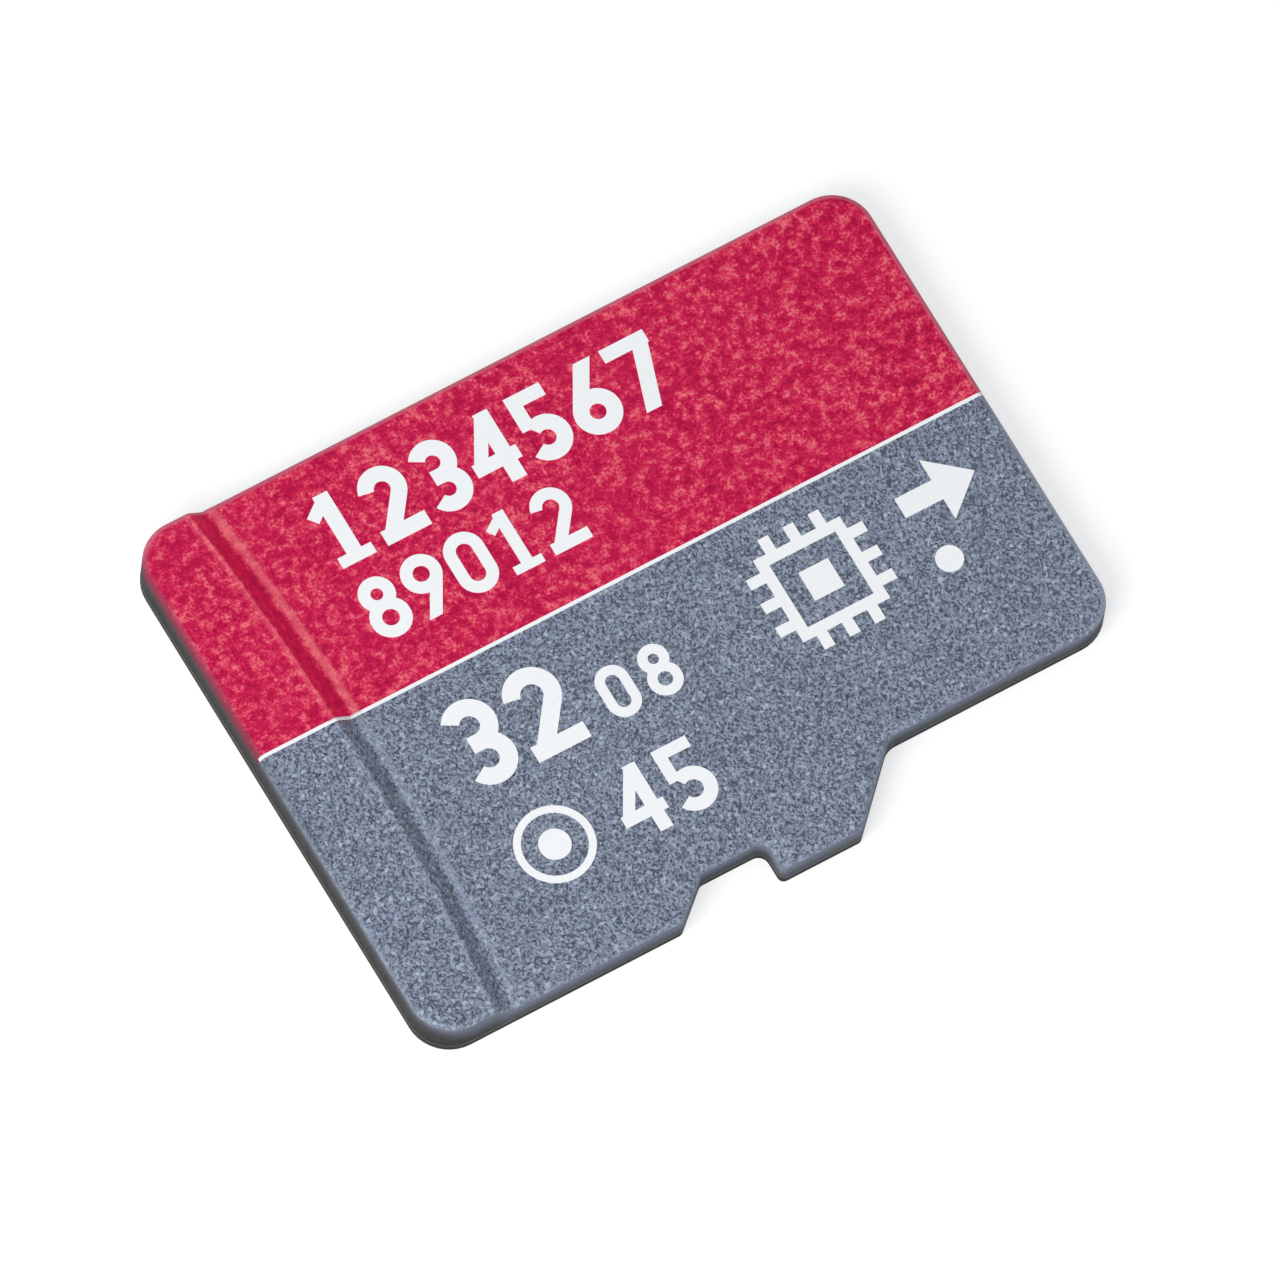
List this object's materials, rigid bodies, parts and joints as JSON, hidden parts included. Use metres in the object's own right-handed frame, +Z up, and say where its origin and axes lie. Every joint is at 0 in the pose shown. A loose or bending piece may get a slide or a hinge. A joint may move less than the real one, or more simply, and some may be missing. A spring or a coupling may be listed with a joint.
{
  "type": "microsd card",
  "caption": "Thin flash memory card with a grip ridge, a locking notch, a stepped side, gold contacts underneath and a red and grey printed label.",
  "frame": {"origin": "middle of the contact face, under the centre of the card's 15 by 11 mm outline", "axes": "+X towards the contact end that enters the socket first, +Y towards the plain long side, +Z up out of the label"},
  "size_m": [0.015, 0.011, 0.001],
  "materials": {
    "black_moulding": "fine matt moulded epoxy",
    "laminate": "dark woven glass laminate",
    "black_resist": "smooth black solder resist",
    "green_resist": "smooth green solder resist",
    "copper": "bright copper",
    "gold": "plated gold",
    "die_adhesive": "cured adhesive film",
    "silicon": "polished silicon",
    "capacitor_ceramic": "fired ceramic",
    "resistor_ceramic": "coated ceramic",
    "tin": "plated tin",
    "red_ink": "mottled red screen ink",
    "grey_ink": "grey screen ink with a fine pearl grain",
    "white_ink": "opaque white screen ink"
  },
  "bodies": {
    "root": {"moulded_body": "black_moulding", "laminate_core": "laminate", "contact_side_resist": "black_resist", "inner_side_resist": "green_resist", "inner_copper": "copper", "filled_vias": "copper", "contact_1_data_2": "gold", "contact_2_data_3": "gold", "contact_3_command": "gold", "contact_4_supply": "gold", "contact_5_clock": "gold", "contact_6_ground": "gold", "contact_7_data_0": "gold", "contact_8_data_1": "gold", "lower_die_film": "die_adhesive", "lower_memory_die": "silicon", "upper_die_film": "die_adhesive", "upper_memory_die": "silicon", "memory_bond_wires": "gold", "controller_film": "die_adhesive", "controller_die": "silicon", "controller_bond_wires": "gold", "capacitor_1": "capacitor_ceramic", "capacitor_2": "capacitor_ceramic", "capacitor_3": "capacitor_ceramic", "resistor": "resistor_ceramic", "capacitor_ends": "tin", "resistor_ends": "tin", "solder_joints": "tin", "red_ink": "red_ink", "grey_ink": "grey_ink", "white_line": "white_ink", "upper_figures": "white_ink", "lower_figures": "white_ink", "capacity_figures": "white_ink", "small_figures": "white_ink", "label_signs": "white_ink"}
  },
  "joints": []
}
